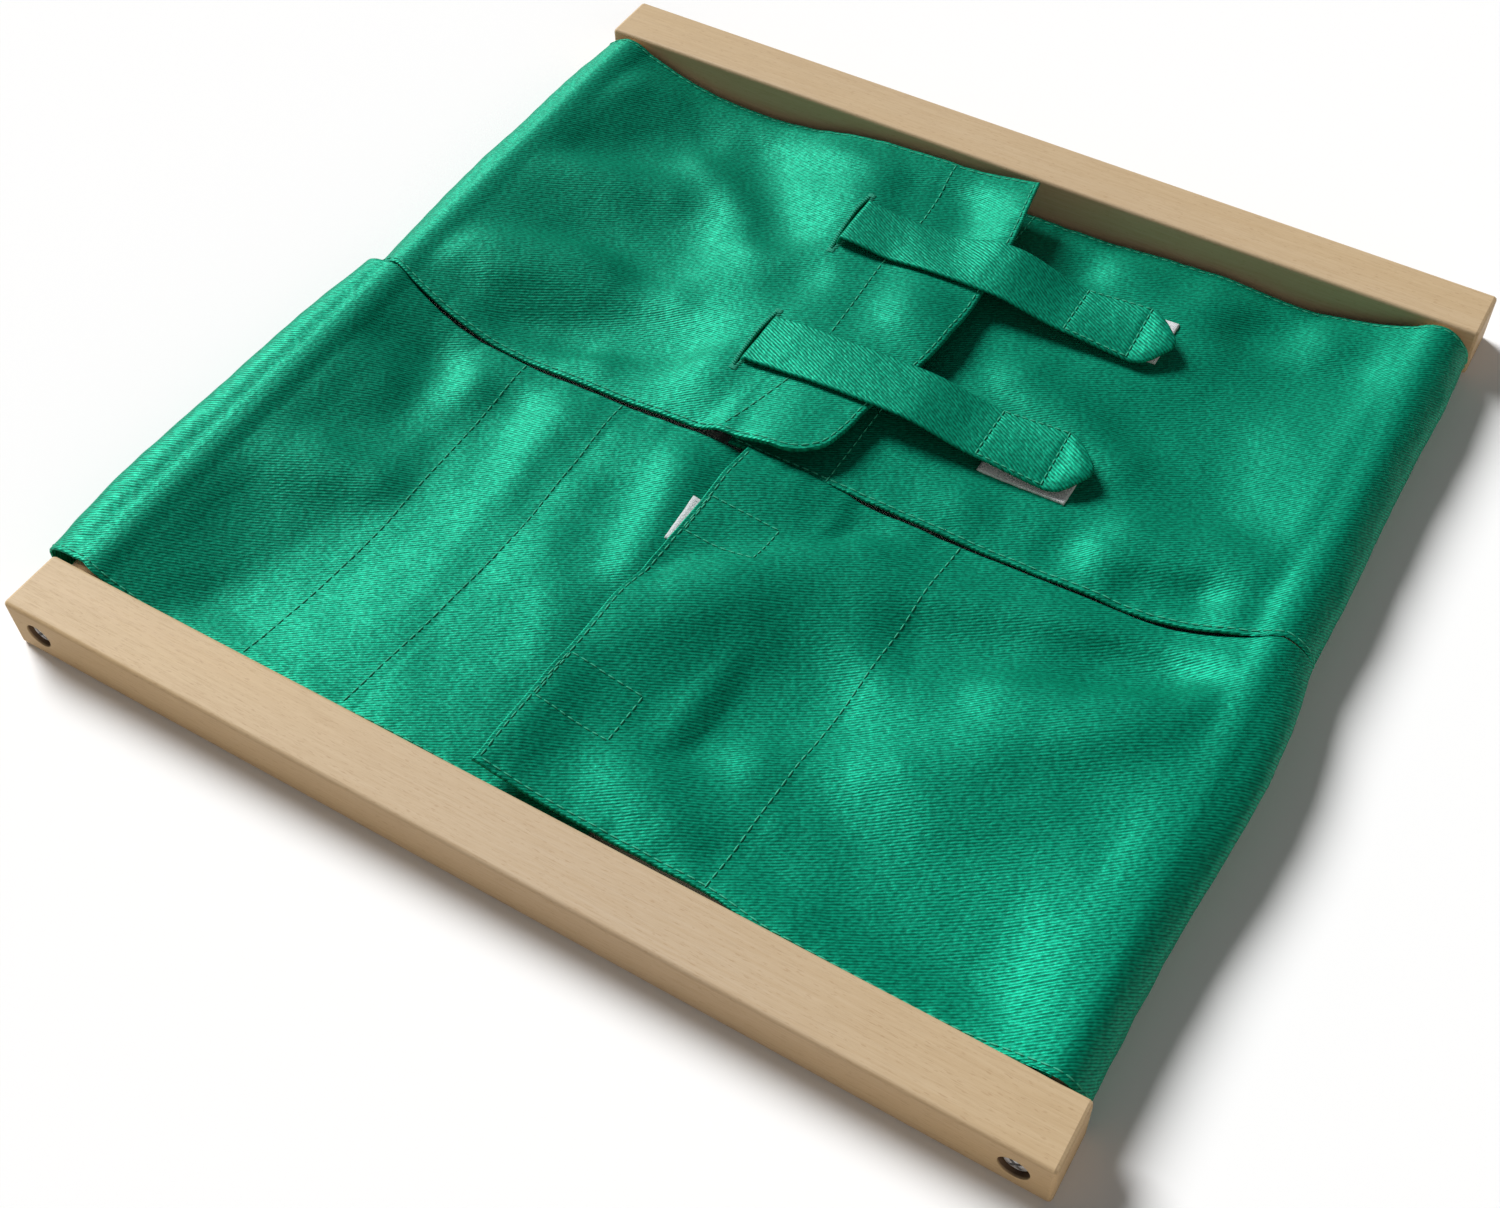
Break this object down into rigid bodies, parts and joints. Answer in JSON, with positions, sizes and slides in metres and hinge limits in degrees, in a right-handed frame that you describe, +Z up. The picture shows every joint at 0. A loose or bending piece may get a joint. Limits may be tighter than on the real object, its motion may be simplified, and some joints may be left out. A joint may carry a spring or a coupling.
{
  "type": "cloth dressing frame",
  "caption": "Flat beech frame carrying overlapping green cloth panels that close with pointed cloth straps through slots and with hook-and-loop patches.",
  "frame": {"origin": "middle of the surface the frame lies on, under its middle", "axes": "+X along the end rails to the side where the lower flap hinges, +Y from the near end rail to the far one, +Z up out of the cloth"},
  "size_m": [0.3141, 0.308, 0.0181],
  "materials": {
    "beech": "fine-sanded beech, clear matt lacquer",
    "screw_steel": "plated steel, slightly dulled",
    "satin_cloth": "polyester satin twill, soft sheen",
    "strap_cloth": "the same twill folded double, soft sheen",
    "hook_tape": "woven nylon with stiff hooks, matt",
    "loop_tape": "brushed nylon loops, matt"
  },
  "bodies": {
    "frame": {"near_end_rail": "beech", "far_end_rail": "beech", "left_side_dowel": "beech", "right_side_dowel": "beech", "near_left_screw": "screw_steel", "near_right_screw": "screw_steel", "far_left_screw": "screw_steel", "far_right_screw": "screw_steel", "upper_left_sleeve": "satin_cloth", "upper_right_sleeve": "satin_cloth", "lower_left_sleeve": "satin_cloth", "lower_right_sleeve": "satin_cloth"},
    "upper_left_flap": {"upper_left_flap": "satin_cloth", "upper_strap_root": "strap_cloth", "lower_strap_root": "strap_cloth"},
    "upper_right_panel": {"upper_right_panel": "satin_cloth", "upper_strap_loop_patch": "loop_tape", "lower_strap_loop_patch": "loop_tape"},
    "lower_right_flap": {"lower_right_flap": "satin_cloth", "far_closure_hook_patch": "hook_tape", "near_closure_hook_patch": "hook_tape"},
    "lower_left_panel": {"lower_left_panel": "satin_cloth", "far_closure_loop_patch": "loop_tape", "near_closure_loop_patch": "loop_tape"},
    "upper_strap": {"upper_strap": "strap_cloth", "upper_strap_hook_patch": "hook_tape"},
    "lower_strap": {"lower_strap": "strap_cloth", "lower_strap_hook_patch": "hook_tape"}
  },
  "joints": [
    {"name": "upper_left_flap_lift", "type": "hinge", "parent": "frame", "child": "upper_left_flap", "pos_m": [-0.1429, 0, 0.0176], "axis": [0, -1, 0], "range_deg": [0, 125]},
    {"name": "upper_right_panel_lift", "type": "hinge", "parent": "frame", "child": "upper_right_panel", "pos_m": [0.1429, 0, 0.0176], "axis": [0, 1, 0], "range_deg": [0, 75]},
    {"name": "lower_right_flap_lift", "type": "hinge", "parent": "frame", "child": "lower_right_flap", "pos_m": [0.1429, 0, 0.0176], "axis": [0, 1, 0], "range_deg": [0, 170]},
    {"name": "lower_left_panel_lift", "type": "hinge", "parent": "frame", "child": "lower_left_panel", "pos_m": [-0.1429, 0, 0.0176], "axis": [0, -1, 0], "range_deg": [0, 102]},
    {"name": "upper_strap_peel", "type": "hinge", "parent": "upper_left_flap", "child": "upper_strap", "pos_m": [-0.032, 0.0895, 0.01513], "axis": [0, -1, 0], "range_deg": [0, 115]},
    {"name": "lower_strap_peel", "type": "hinge", "parent": "upper_left_flap", "child": "lower_strap", "pos_m": [-0.032, 0.0315, 0.01528], "axis": [0, -1, 0], "range_deg": [0, 115]}
  ],
  "couplings": [
    {"joint": "upper_right_panel_lift", "follows": "upper_left_flap_lift", "ratio": 0.6},
    {"joint": "lower_left_panel_lift", "follows": "lower_right_flap_lift", "ratio": 0.6}
  ]
}
